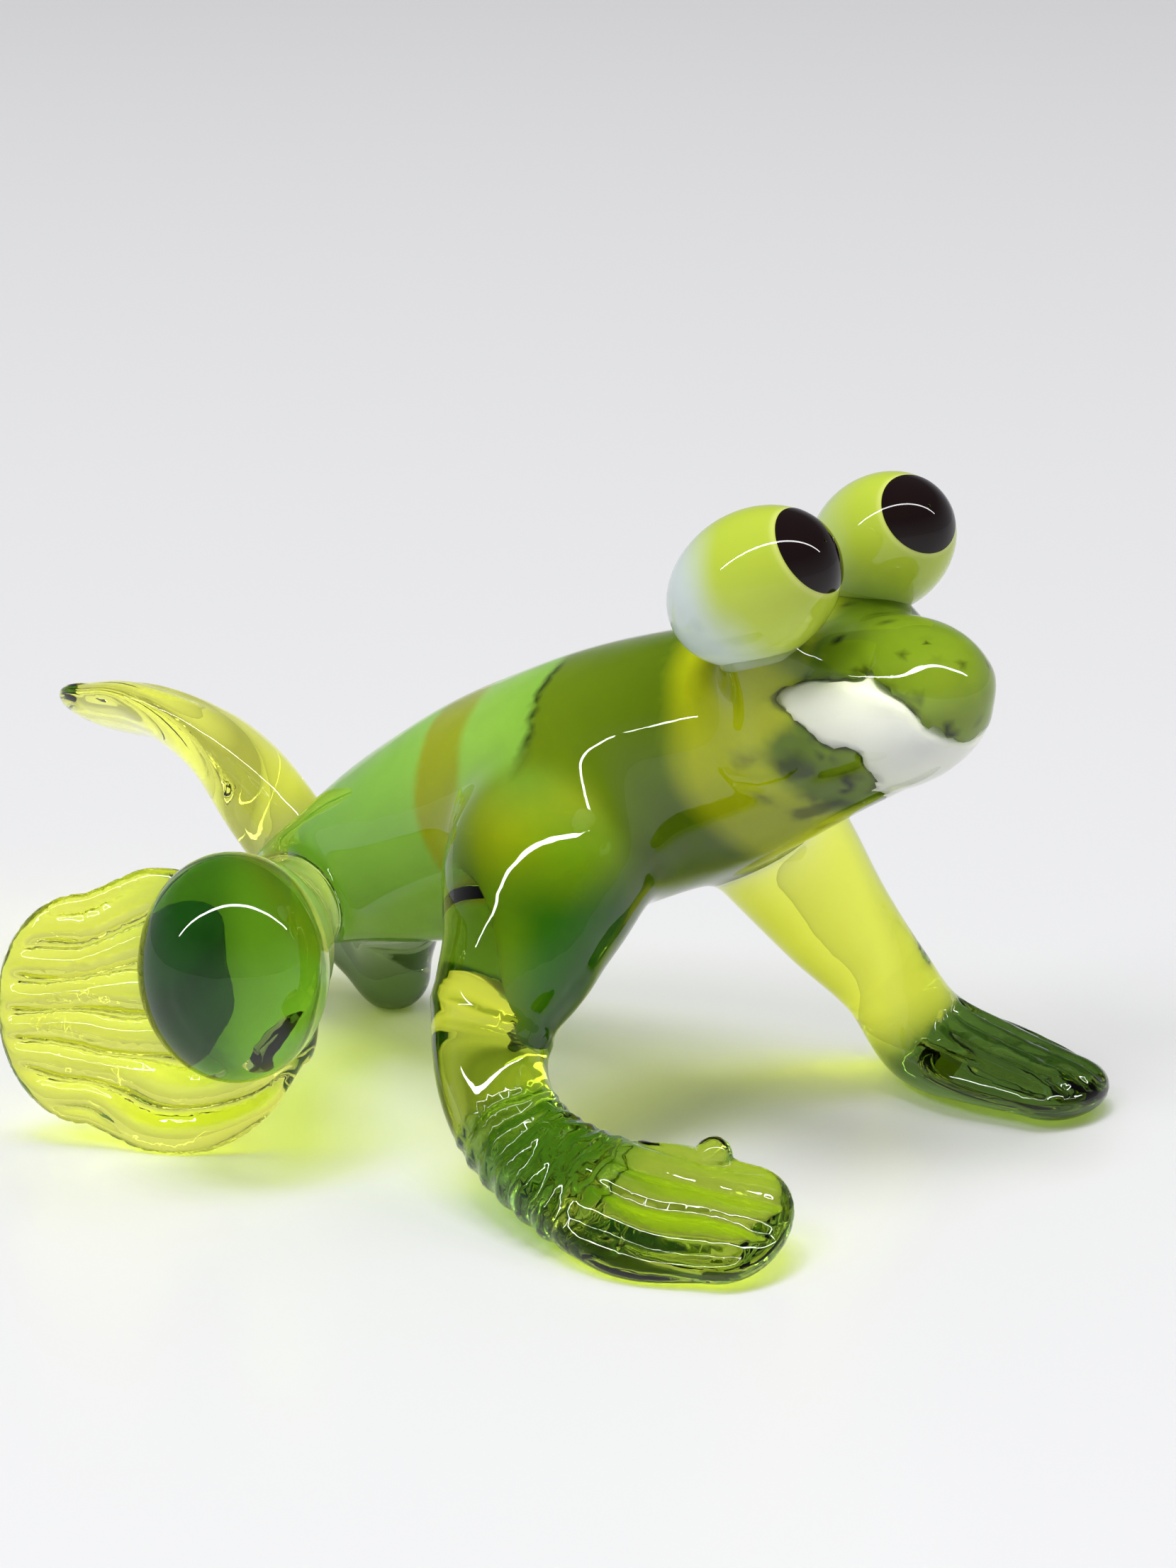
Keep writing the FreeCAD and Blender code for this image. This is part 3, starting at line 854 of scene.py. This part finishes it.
@dataclass(frozen=True)
class BeadGlass:
    """Glossy bead glass with its colours painted on it.

    Attributes:
        name: Name of the finish.
        layer: Colour layer.
        ior: Refractive index, which sets how much it shines.
    """

    name: str
    layer: str
    ior: float = 1.5

    def material(self) -> bpy.types.Material:
        """Build the material."""
        recipe = Recipe(self.name)
        shade = recipe.clouded(self.layer, recipe.noise(260.0, 2.0), 0.93, 1.04)
        bead = recipe.node("ShaderNodeBsdfPrincipled", {"Roughness": 0.03, "IOR": self.ior})
        recipe.link(shade, bead.inputs["Base Color"])
        return recipe.finish(bead)


class Tint(Enum):
    """Red, green and blue that one wall of each clear glass lets through."""

    CASING = (0.95, 0.98, 0.84)
    CLEAR = (1.0, 1.0, 1.0)
    LIME = (0.84, 0.91, 0.07)
    YELLOW = (0.85, 0.89, 0.13)
    PALE = (0.91, 0.95, 0.15)
    LEAF = (0.11, 0.26, 0.02)
    DARK = (0.10, 0.20, 0.03)
    TEAL = (0.20, 0.40, 0.12)
    BRIGHT = (0.78, 0.94, 0.22)
    THIGH = (0.72, 0.86, 0.24)
    OLIVE = (0.38, 0.49, 0.03)
    TOES = (0.46, 0.58, 0.06)
    AMBER = (0.98, 0.66, 0.07)
    BOTTLE = (0.06, 0.12, 0.02)


# First tint of a limb, then each further one with the stretch in which it takes over.
TINT_BANDS: dict[Zone, tuple] = {
    Zone.RIGHT_ARM: (Tint.CASING, (Tint.LIME, 4.5, 8.0), (Tint.OLIVE, 15.0, 16.5),
                     (Tint.LEAF, 20.2, 20.9), (Tint.TOES, 26.5, 29.0)),
    Zone.LEFT_ARM: (Tint.CASING, (Tint.LIME, 0.0, 2.5), (Tint.DARK, 18.0, 21.0)),
    Zone.RIGHT_SOLE: (Tint.YELLOW,),
    Zone.LEFT_THIGH: (Tint.BOTTLE,),
}
# Across and up the outer face of the right limbs, and the middle of the right knee.
FLANK_SIDE = np.array([0.81, 0.59, 0.0])
FLANK_UP = np.array([-0.165, 0.228, 0.96])
KNEE_MIDDLE = np.array([-7.9, -20.5, 11.8])

# Share of the spine and colour at each stop of the core's stripes.
STRIPES = (
    (0.00, (0.16, 0.34, 0.04)), (0.24, (0.23, 0.49, 0.06)), (0.445, (0.31, 0.58, 0.11)),
    (0.455, (0.36, 0.38, 0.006)), (0.515, (0.36, 0.40, 0.006)), (0.530, (0.34, 0.60, 0.11)),
    (0.620, (0.30, 0.56, 0.10)), (0.633, (0.17, 0.25, 0.006)), (0.79, (0.13, 0.21, 0.004)),
    (0.825, (0.58, 0.62, 0.008)), (0.905, (0.58, 0.64, 0.008)), (0.93, (0.15, 0.25, 0.008)),
    (0.97, (0.19, 0.30, 0.012)), (1.12, (0.30, 0.42, 0.03)),
)

# Sub-assemblies.


@dataclass
class GlassSkin:
    """The clear casing of the trunk with all four legs, melted into one skin.

    Attributes:
        figure: The melted shape.
        step: Grid spacing in millimetres.
        finish: Finish of the glass.
    """

    figure: Figure
    step: float = 0.4
    finish: ClearGlass = ClearGlass("lime clear glass", "tint")

    def build(self) -> bpy.types.Object:
        """Mesh the skin and tint it.

        Returns:
            The piece, riding on the root.
        """
        low = np.array([-43.0, -31.0, -0.2])
        high = np.array([31.0, 20.0, 35.0])
        vertices, quads = Skinner(self.step).skin(self.figure.field, low, high)
        piece = shelf_mesh("casing_and_legs", vertices, quads)
        normals = unit(Skinner.gradient(self.figure.field, vertices))
        piece.data.normals_split_custom_set_from_vertices(normals.tolist())
        self.dress(piece, vertices)
        return piece

    def dress(self, piece: bpy.types.Object, vertices: np.ndarray) -> None:
        """Paint the tint of each stretch of glass and add the finish.

        Args:
            piece: The skin.
            vertices: Its vertices in millimetres.
        """
        shares = self.figure.shares(vertices)
        colours = np.zeros((len(vertices), 3))
        for zone, (share, reading) in shares.items():
            colours += share[:, None] * self.tint(zone, vertices, reading)
        paint(piece, self.finish.layer, colours)
        piece.data.materials.append(self.finish.material())
        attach(piece, "root")
        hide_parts("right_front_leg", "left_front_leg", "right_hind_leg", "left_hind_leg")

    @staticmethod
    def tint(zone: Zone, points: np.ndarray, reading: Reading) -> np.ndarray:
        """Return the colour that one wall of a stretch of glass lets through.

        Args:
            zone: Which gather.
            points: Positions in millimetres.
            reading: What the gather says of the points.

        Returns:
            One colour for each point.
        """
        along = reading.along

        def spread(tint: Tint) -> np.ndarray:
            """Return one tint for every point."""
            return np.tile(tint.value, (len(points), 1))

        if zone is Zone.TRUNK:
            share, up = head_place(points)
            chin = ramp(share, 0.90, 0.93) * (1.0 - ramp(up, 1.5, 3.0))
            return blend(spread(Tint.CASING), spread(Tint.CLEAR), chin)
        if zone is Zone.RIGHT_THIGH:
            offset = points - KNEE_MIDDLE
            side, up = offset @ FLANK_SIDE, offset @ FLANK_UP
            knee = blend(spread(Tint.TEAL), spread(Tint.BRIGHT), ramp(side, -1.6, 1.0))
            streak = np.exp(-((side - 1.4 - 0.66 * (4.9 - up)) / 0.8) ** 2) * ramp(up, -0.5, 1.5)
            knee = blend(knee, spread(Tint.AMBER), streak)
            return blend(spread(Tint.THIGH), knee, ramp(along, 9.0, 14.0))
        if zone is Zone.LEFT_SHIN:
            shin = blend(spread(Tint.LIME), spread(Tint.PALE), ramp(along, 11.0, 20.0))
            return blend(spread(Tint.BOTTLE), shin, ramp(along, 8.5, 14.0))
        first, *bands = TINT_BANDS[zone]
        colour = spread(first)
        for tint, begin, end in bands:
            colour = blend(colour, spread(tint), ramp(along, begin, end))
        return colour


@dataclass
class BandedCore:
    """The striped green glass inside the trunk and head, with the dark cores of the right limbs.

    Attributes:
        figure: The melted shape that it lies in.
        casing: Thickness of the clear glass over it.
        step: Grid spacing in millimetres.
        finish: Finish of the glass.
    """

    figure: Figure
    casing: float = 0.75
    step: float = 0.5
    finish: BandedGlass = BandedGlass("banded green glass", "stripes")

    def chin(self, points: np.ndarray) -> np.ndarray:
        """Return the field of the part of the head that holds no green.

        Args:
            points: Positions in millimetres.

        Returns:
            Distances, negative inside the chin.
        """
        share, up = head_place(points)
        ragged = 0.45 * soft_waves(points, 3.2, 11) + 0.35 * soft_waves(points, 1.5, 12)
        top = np.interp(share, *CHIN_TOP)
        back = np.interp(up, *CHIN_BACK)
        return smooth_max((back - share) * SPINE.length + ragged, up - top + 0.3 * ragged, 0.5)

    def filling(self, points: np.ndarray) -> np.ndarray:
        """Return the distance of points to the skin of the white chin filling, which is painted backdrop
        light.
        """
        reading = trunk_gather(self.casing - 0.2).read(points)
        return smooth_max(reading.distance, self.chin(points) + 0.15, 0.3)

    def fill(self, finish: "BeadGlass") -> bpy.types.Object:
        """Mesh the chin filling, painted white to stand for the bright backdrop seen through the clear glass.

        Args:
            finish: Finish of the filling, whose white is painted backdrop light.

        Returns:
            The piece, riding on the root.
        """
        low, high = np.array([12.0, -7.0, 15.0]), np.array([29.5, 7.0, 31.0])
        vertices, quads = Skinner(0.45).skin(self.filling, low, high)
        piece = shelf_mesh("chin_painted_backdrop_light", vertices, quads)
        # Painted light: the near-white stands for the bright backdrop seen through the clear chin.
        cloud = 0.012 * soft_waves(vertices, 3.0, 51)[:, None]
        paint(piece, finish.layer, np.array([0.975, 0.985, 0.98]) + cloud)
        piece.data.materials.append(finish.material())
        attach(piece, "root")
        return piece

    def field(self, points: np.ndarray) -> np.ndarray:
        """Return the distance of points to the core's skin."""
        reading = trunk_gather(self.casing).read(points)
        total = smooth_min(reading.distance, self.figure.pads(points) + 0.9, 2.4)
        total = smooth_max(total, -self.chin(points), 0.4)
        total = smooth_min(total, SHOULDER_CORE.read(points).distance, 3.4)
        knee = KNEE_CORE.read(points).distance + 0.35 * soft_waves(points, 4.0, 61)
        return np.minimum(total, knee)

    def build(self) -> bpy.types.Object:
        """Mesh the core and paint its stripes.

        Returns:
            The piece, riding on the root.
        """
        low = np.array([-27.5, -25.5, 2.0])
        high = np.array([29.0, 8.0, 34.0])
        vertices, quads = Skinner(self.step).skin(self.field, low, high)
        piece = shelf_mesh("striped_core", vertices, quads)
        reading = trunk_gather(self.casing).read(vertices)
        share = 0.02 + reading.along / SPINE.length
        share = share + 0.006 * soft_waves(vertices, 6.0, 21)
        paint(piece, self.finish.layer, self.stripes(share, vertices))
        piece.data.materials.append(self.finish.material())
        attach(piece, "root")
        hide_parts("body")
        return piece

    @staticmethod
    def stripes(share: np.ndarray, points: np.ndarray) -> np.ndarray:
        """Return the colour of the stripes.

        Args:
            share: Share of the spine at each point.
            points: Positions in millimetres.

        Returns:
            One colour for each point.
        """
        _, up = head_place(points)
        share = share - 0.03 * ramp(up, -0.5, 1.0) * ramp(share, 0.86, 0.90)
        at = np.array([stop for stop, _ in STRIPES])
        colours = np.array([colour for _, colour in STRIPES])
        mixed = np.stack([np.interp(share, at, colours[:, i]) for i in range(3)], 1)
        weld = np.exp(-((share - 0.627) / 0.004) ** 2) * ramp(points[:, 2], 16.0, 19.0)
        mixed = mixed * (1.0 - 0.9 * weld[:, None])
        snout = ramp(share, 0.90, 0.94)
        specks = ramp(soft_waves(points, 1.7, 31), 0.88, 1.0) * snout
        lines = ramp(np.sin(up * 3.1 + 1.5 * soft_waves(points, 5.0, 32)), 0.93, 1.0) * snout
        lines = lines * ramp(soft_waves(points, 3.0, 35), 0.25, 0.6)
        low_jaw = ramp(share, 0.86, 0.88) * (1.0 - ramp(share, 0.97, 1.0)) * (1.0 - ramp(up, -1.2, 0.2))
        clots = ramp(soft_waves(points, 2.4, 33), 0.1, 0.7) * low_jaw
        mixed = mixed * (1.0 - 0.9 * np.maximum(np.maximum(specks, 0.7 * lines), 0.75 * clots)[:, None])
        right = points @ FLANK_SIDE + 4.0
        bloom = 0.5 + 0.5 * soft_waves(points, 6.5, 34)
        shoulder = blend(np.array([0.19, 0.36, 0.04]), np.array([0.36, 0.42, 0.02]), bloom)
        dark = ramp(right, -2.4, 1.8) * (1.0 - ramp(points[:, 2], 14.5, 18.5))
        shoulder = blend(shoulder, np.array([0.03, 0.14, 0.015]), dark)
        mixed = blend(mixed, shoulder, ramp(-points[:, 1], 6.6, 8.4))
        knee = ramp(-points[:, 1], 15.0, 16.0)
        return blend(mixed, np.array([0.03, 0.13, 0.035]), knee)


@dataclass(frozen=True)
class EyePlace:
    """Where an eye sits and how it looks.

    Attributes:
        name: Side of the frog.
        centre: Centre in millimetres.
        yaw: Turn from straight ahead in degrees.
        share: Size as a share of the larger eye.
        milk_and_painted_light: Where the opal-white back starts and ends along the look, from -1 to 1;
            widened, it also paints light onto a shaded eye.
    """

    name: str
    centre: tuple[float, float, float]
    yaw: float
    share: float
    milk_and_painted_light: tuple[float, float]


@dataclass
class EyeBead:
    """An opal bead with a black pupil let into its end.

    Attributes:
        place: Where it sits.
        length: Half length along its look.
        girth: Half width.
        pitch: Upward tilt in degrees.
        pupil: Radius of the pupil.
    """

    place: EyePlace
    length: float = 5.2
    girth: float = 3.95
    pitch: float = 35.0
    pupil: float = 2.45

    def turn(self) -> np.ndarray:
        """Return the axes of the bead: look, side and up, as rows."""
        yaw, pitch = math.radians(self.place.yaw), math.radians(self.pitch)
        look = np.array([math.cos(pitch) * math.cos(yaw), math.cos(pitch) * math.sin(yaw), math.sin(pitch)])
        side = unit(np.cross([0.0, 0.0, 1.0], look))
        return np.stack([look, side, np.cross(look, side)])

    def shell(self, first: float, last: float, rings: int, grow: float) -> tuple[np.ndarray, np.ndarray]:
        """Make a band of the egg between two polar angles.

        Args:
            first: Polar angle in radians from the look, where the band starts.
            last: Polar angle where it ends.
            rings: Number of rings.
            grow: Extra size in millimetres.

        Returns:
            Vertices in millimetres and faces.
        """
        around = 72
        polar = np.linspace(first, last, rings)[:, None]
        turn = np.linspace(0, 2 * math.pi, around, endpoint=False)[None, :]
        length = self.length * self.place.share + grow
        girth = self.girth * self.place.share + grow
        local = np.stack([np.broadcast_to(length * np.cos(polar), (rings, around)),
                          girth * np.sin(polar) * np.cos(turn), girth * np.sin(polar) * np.sin(turn)], -1)
        points = local.reshape(-1, 3) @ self.turn() + np.array(self.place.centre)
        row = np.arange(rings - 1)[:, None] * around
        col = np.arange(around)[None, :]
        nxt = (col + 1) % around
        faces = np.stack([row + col, row + around + col, row + around + nxt, row + nxt], -1).reshape(-1, 4)
        return points, faces

    def build(self, bead: BeadGlass, black: BeadGlass) -> list[bpy.types.Object]:
        """Build the bead and its pupil.

        Args:
            bead: Finish of the bead.
            black: Finish of the pupil.

        Returns:
            The two pieces.
        """
        vertices, faces = self.shell(0.02, math.pi - 0.02, 56, 0.0)
        eye = shelf_mesh(f"{self.place.name}_eye_bead", vertices, faces)
        along = (vertices - np.array(self.place.centre)) @ self.turn()[0] / (self.length * self.place.share)
        milk_and_painted_light, lime = np.array([0.66, 0.76, 0.74]), np.array([0.54, 0.67, 0.06])
        # Opal-white glass towards the back; where the span is widened, as on the left eye, the extra white is
        # painted light against shade.
        front = ramp(along + 0.05 * soft_waves(vertices, 4.0, 41), *self.place.milk_and_painted_light)
        colours = blend(milk_and_painted_light, lime, front)
        edge = math.asin(min(1.0, self.pupil / self.girth))
        polar = np.arccos(np.clip(along, -1, 1))
        halo = 0.6 * np.exp(-((polar - edge - 0.03) / 0.035) ** 2)
        colours = blend(colours, np.array([0.80, 0.86, 0.25]), halo)
        paint(eye, bead.layer, colours)
        eye.data.materials.append(bead.material())
        cap, cap_faces = self.shell(0.02, edge, 18, 0.03)
        pupil = shelf_mesh(f"{self.place.name}_pupil_dot", cap, cap_faces)
        paint(pupil, black.layer, np.tile([0.012, 0.006, 0.006], (len(cap), 1)))
        pupil.data.materials.append(black.material())
        for piece, node, slot in ((eye, "eye", "opal_glass"), (pupil, "pupil", "black_glass")):
            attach(piece, "root")
            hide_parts(f"{self.place.name}_{node}")
        return [eye, pupil]


@dataclass
class Studio:
    """Pale floor, soft lights and the camera of the picture.

    Attributes:
        floor_size: Half width of the floor in metres.
        floor_colour: Colour of the floor.
        focal: Focal length in pixels of the picture.
        sensor: Longer side of the camera's sensor in millimetres.
        viewpoint: Place of the camera in the figure's own layout, in millimetres.
        right: The camera's right.
        up: The camera's up.
    """

    floor_size: float = 3.0
    floor_colour: tuple[float, float, float] = (0.84, 0.84, 0.85)
    focal: float = 5000.0
    sensor: float = 36.0
    viewpoint: tuple[float, float, float] = (112.74, -155.32, 74.73)
    right: tuple[float, float, float] = (0.8093, 0.5874, 0.0)
    up: tuple[float, float, float] = (-0.1652, 0.2277, 0.9596)

    def floor(self) -> bpy.types.Object:
        """Lay the floor."""
        half = self.floor_size
        mesh = bpy.data.meshes.new("floor")
        corners = [(-half, -half, 0), (half, -half, 0), (half, half, 0), (-half, half, 0)]
        mesh.from_pydata(corners, [], [(0, 1, 2, 3)])
        floor = bpy.data.objects.new("floor", mesh)
        bpy.context.scene.collection.objects.link(floor)
        recipe = Recipe("pale paper")
        paper = recipe.node("ShaderNodeBsdfPrincipled", {
            "Roughness": 0.28, "Specular IOR Level": 0.35, "Base Color": (*self.floor_colour, 1.0)})
        mesh.materials.append(recipe.finish(paper))
        return floor

    def lamp(self, name: str, place: tuple[float, float, float], target: tuple[float, float, float],
             size: tuple[float, float], power: float, spin: float = 0.0) -> bpy.types.Object:
        """Hang one rectangular soft lamp.

        Args:
            name: Name of the lamp.
            place: Its position in metres.
            target: What it points at.
            size: Its two sides in metres.
            power: Power in watts.
            spin: Turn about its own axis in degrees.

        Returns:
            The lamp.
        """
        data = bpy.data.lights.new(name, "AREA")
        data.shape = "RECTANGLE"
        data.size, data.size_y = size
        data.energy = power
        lamp = bpy.data.objects.new(name, data)
        look = (Vector(target) - Vector(place)).to_track_quat("-Z", "Y")
        turned = look.to_matrix().to_4x4() @ Matrix.Rotation(math.radians(spin), 4, "Z")
        lamp.matrix_world = Matrix.Translation(Vector(place)) @ turned
        bpy.context.scene.collection.objects.link(lamp)
        return lamp

    def window(self, name: str, heading: tuple[float, float, float], power: float) -> bpy.types.Object:
        """Add the soft even light of a wide window.

        Args:
            name: Name of the light.
            heading: Which way the light travels.
            power: Power in watts for each square metre.

        Returns:
            The light.
        """
        data = bpy.data.lights.new(name, "SUN")
        data.energy, data.angle = power, math.radians(22.0)
        window = bpy.data.objects.new(name, data)
        window.rotation_euler = Vector(heading).to_track_quat("-Z", "Y").to_euler()
        window.visible_glossy = False
        window.visible_transmission = False
        bpy.context.scene.collection.objects.link(window)
        return window

    def world(self) -> None:
        """Fill the room with a pale horizon and a darker ceiling."""
        world = bpy.data.worlds.new("room")
        bpy.context.scene.world = world
        world.use_nodes = True
        tree = world.node_tree
        tree.nodes.clear()
        place = tree.nodes.new("ShaderNodeTexCoord")
        split = tree.nodes.new("ShaderNodeSeparateXYZ")
        tree.links.new(place.outputs["Generated"], split.inputs[0])
        path = tree.nodes.new("ShaderNodeLightPath")
        back = tree.nodes.new("ShaderNodeBackground")
        rooms = (("Is Glossy Ray", (0.46, 0.46, 0.48, 1), (0.07, 0.07, 0.08, 1)),
                 ("Is Transmission Ray", (0.86, 0.86, 0.88, 1), (0.50, 0.50, 0.51, 1)))
        colour = None
        for ray, horizon, ceiling in rooms:
            tones = tree.nodes.new("ShaderNodeValToRGB")
            tones.color_ramp.elements[0].color = horizon
            tones.color_ramp.elements[1].position = 0.5
            tones.color_ramp.elements[1].color = ceiling
            tree.links.new(split.outputs["Z"], tones.inputs[0])
            choice = tree.nodes.new("ShaderNodeMix")
            choice.data_type = "RGBA"
            choice.inputs[6].default_value = (0.30, 0.30, 0.31, 1)
            if colour is not None:
                tree.links.new(colour, choice.inputs[6])
            tree.links.new(path.outputs[ray], choice.inputs["Factor"])
            tree.links.new(tones.outputs[0], choice.inputs[7])
            colour = choice.outputs[2]
        tree.links.new(colour, back.inputs["Color"])
        out = tree.nodes.new("ShaderNodeOutputWorld")
        tree.links.new(back.outputs[0], out.inputs["Surface"])

    def camera(self) -> bpy.types.Object:
        """Set the camera as the photograph was taken."""
        data = bpy.data.cameras.new("camera")
        data.sensor_width = self.sensor
        data.lens = self.focal / PICTURE[1] * self.sensor
        data.clip_start = 0.01
        data.clip_end = 50.0
        camera = bpy.data.objects.new("camera", data)
        right, up = Vector(self.right), Vector(self.up)
        back = right.cross(up)
        turn = Matrix((right, up, back)).transposed().to_4x4()
        place = (Vector(self.viewpoint) + Vector(ONTO_SHELF.tolist())) * MM
        camera.matrix_world = Matrix.Translation(place) @ turn
        bpy.context.scene.collection.objects.link(camera)
        bpy.context.scene.camera = camera
        return camera

    def build(self) -> None:
        """Set up the whole studio."""
        self.floor()
        self.world()
        self.camera()
        soft = self.lamp("overhead soft box", (-0.10, -0.35, 1.25), (0, 0, 0.01), (0.30, 0.30), 5.0)
        soft.visible_glossy = False
        soft.visible_transmission = False
        self.window("roof window", (-0.06, 0.02, -1.0), 0.95)
        self.window("front window", (0.15, 0.85, -1.0), 0.85)
        self.window("back window", (-0.42, -0.50, -1.0), 0.30)
        tube = self.lamp("tube lamp", (0.05, -0.18, 0.36), (0.05, -0.18, 0.0), (1.60, 0.02), 3.6, 43.0)
        tube.visible_diffuse = False
        bpy.context.scene.view_settings.view_transform = "Standard"


def log_piece(piece: bpy.types.Object) -> None:
    """Log the name and the number of faces of a piece."""
    LOG.info("%s: %d faces", piece.name, len(piece.data.polygons))


def main() -> None:
    """Build the frog piece by piece."""
    logging.basicConfig(level=logging.INFO, format="%(message)s")
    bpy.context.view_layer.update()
    Studio().build()
    figure = Figure()
    log_piece(GlassSkin(figure).build())
    cores = BandedCore(figure)
    log_piece(cores.build())
    opal, black = BeadGlass("opal bead glass", "colour"), BeadGlass("black glass", "colour", 1.36)
    # The chin filling is painted near-white to stand for the bright backdrop seen through the clear chin.
    log_piece(cores.fill(BeadGlass("chin white painted as backdrop light", "colour", 1.05)))
    # The left eye's wider white span is partly its own opal glass, partly painted light lifting the shade the
    # right eye casts on it.
    places = (EyePlace("right", (14.3, -5.0, 32.8), 0.0, 1.0, (-0.40, 0.22)),
              EyePlace("left", (15.9, 5.0, 33.49), -21.0, 0.93, (-0.90, 0.55)))
    for place in places:
        for piece in EyeBead(place).build(opal, black):
            log_piece(piece)


if __name__ == "__main__":
    main()
